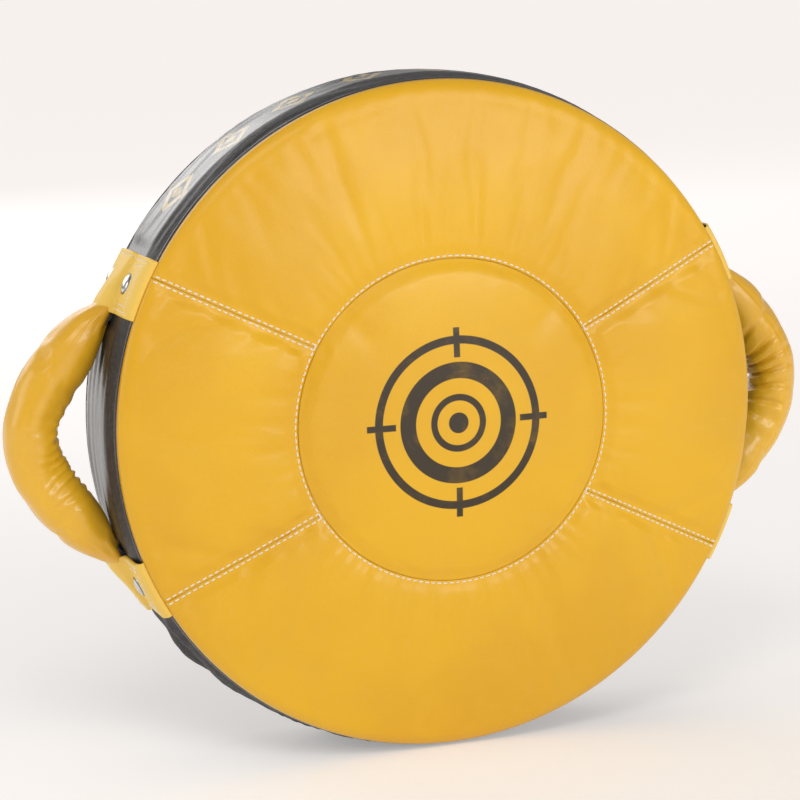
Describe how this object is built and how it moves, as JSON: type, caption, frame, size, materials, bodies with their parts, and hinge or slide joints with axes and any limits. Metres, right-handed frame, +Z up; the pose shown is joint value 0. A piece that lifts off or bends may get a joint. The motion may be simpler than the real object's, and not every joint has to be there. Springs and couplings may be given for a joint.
{
  "type": "kick shield",
  "caption": "Round padded kick shield that stands on its rim, with stuffed side grips, forearm straps and a zipped back.",
  "frame": {"origin": "on the surface that the shield stands on, under the middle of its bounding box", "axes": "-Y is the way the strike face points, +Z is up, +X is to the right as one looks at the strike face"},
  "size_m": [0.5806, 0.145, 0.4584],
  "materials": {
    "yellow_leather": "satin",
    "black_leather": "satin",
    "black_piping": "gloss",
    "rivet_metal": "polished",
    "soft_foam": "matte",
    "dense_foam": "matte",
    "core_foam": "matte",
    "webbing": "matte",
    "zip_tape": "matte",
    "zip_teeth": "satin",
    "zip_metal": "satin"
  },
  "bodies": {
    "shield": {"face_centre_panel": "yellow_leather", "face_top_panel": "yellow_leather", "face_bottom_panel": "yellow_leather", "face_left_panel": "yellow_leather", "face_right_panel": "yellow_leather", "front_piping": "black_piping", "rear_piping": "black_piping", "gusset_upper": "black_leather", "gusset_lower": "black_leather", "strike_foam": "soft_foam", "shock_foam": "dense_foam", "core_foam": "core_foam", "rear_foam": "soft_foam", "back_panel_upper": "black_leather", "back_panel_lower": "black_leather", "rivet_caps": "rivet_metal", "rivet_burrs": "rivet_metal", "zip_tape_upper": "zip_tape", "zip_tape_lower": "zip_tape", "zip_teeth_upper": "zip_teeth", "zip_teeth_lower": "zip_teeth", "zip_stops": "zip_metal", "left_upper_band": "yellow_leather", "left_upper_strap_patch": "yellow_leather", "left_lower_band": "yellow_leather", "left_lower_strap_patch": "yellow_leather", "left_grip_sleeve": "yellow_leather", "left_grip_core": "soft_foam", "left_grip_webbing": "webbing", "left_arm_strap": "black_leather", "right_upper_band": "yellow_leather", "right_upper_strap_patch": "yellow_leather", "right_lower_band": "yellow_leather", "right_lower_strap_patch": "yellow_leather", "right_grip_sleeve": "yellow_leather", "right_grip_core": "soft_foam", "right_grip_webbing": "webbing", "right_arm_strap": "black_leather"},
    "zip_slider": {"zip_slider": "zip_metal"},
    "zip_pull": {"zip_pull": "zip_metal"}
  },
  "joints": [
    {"name": "zip_slide", "type": "slide", "parent": "shield", "child": "zip_slider", "axis": [-1, 0, 0], "range_m": [0, 0.236]},
    {"name": "zip_pull_hinge", "type": "hinge", "parent": "zip_slider", "child": "zip_pull", "pos_m": [0.12, 0.0334, 0.0785], "axis": [0, 0, -1], "range_deg": [0, 170]}
  ]
}
